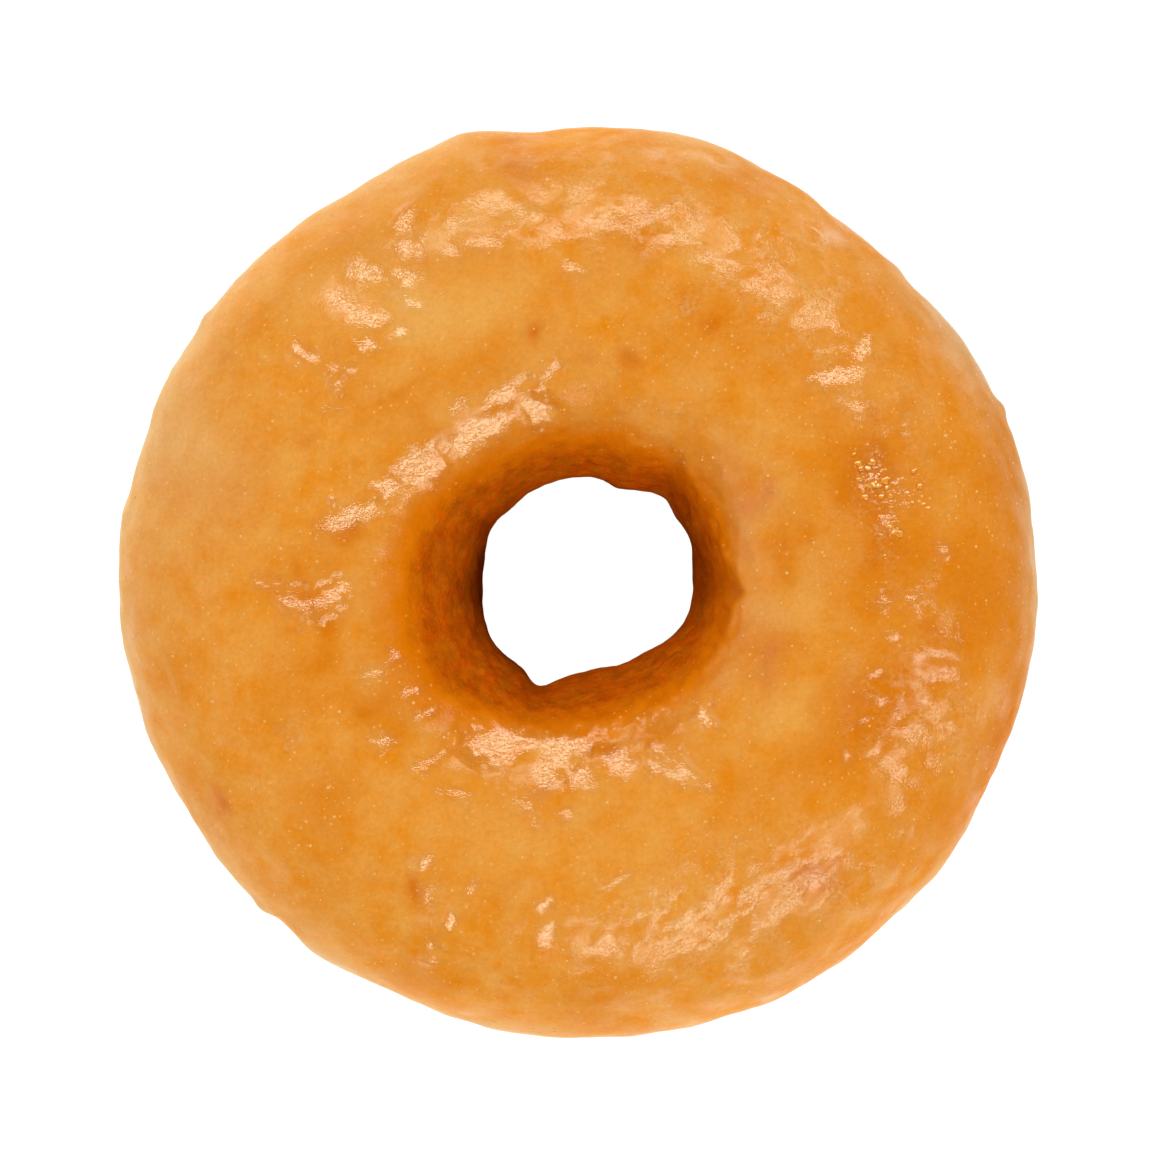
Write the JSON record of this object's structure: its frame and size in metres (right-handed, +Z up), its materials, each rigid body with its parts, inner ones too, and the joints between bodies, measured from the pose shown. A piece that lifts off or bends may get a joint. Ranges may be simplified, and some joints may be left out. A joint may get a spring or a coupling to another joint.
{
  "type": "ring doughnut",
  "caption": "Round yeast-raised doughnut with an open hole through its middle, a soft rounded section, a thin clear sugar glaze and a small flat ring to rest on.",
  "frame": {"origin": "under the centre of the ring's outline, on the surface that it rests on", "axes": "+Z up through the hole, +X to the right and +Y away as the doughnut is seen from above"},
  "size_m": [0.092, 0.0914, 0.0315],
  "materials": {
    "glazed_crust": null
  },
  "bodies": {
    "root": {"doughnut": "glazed_crust"}
  },
  "joints": []
}
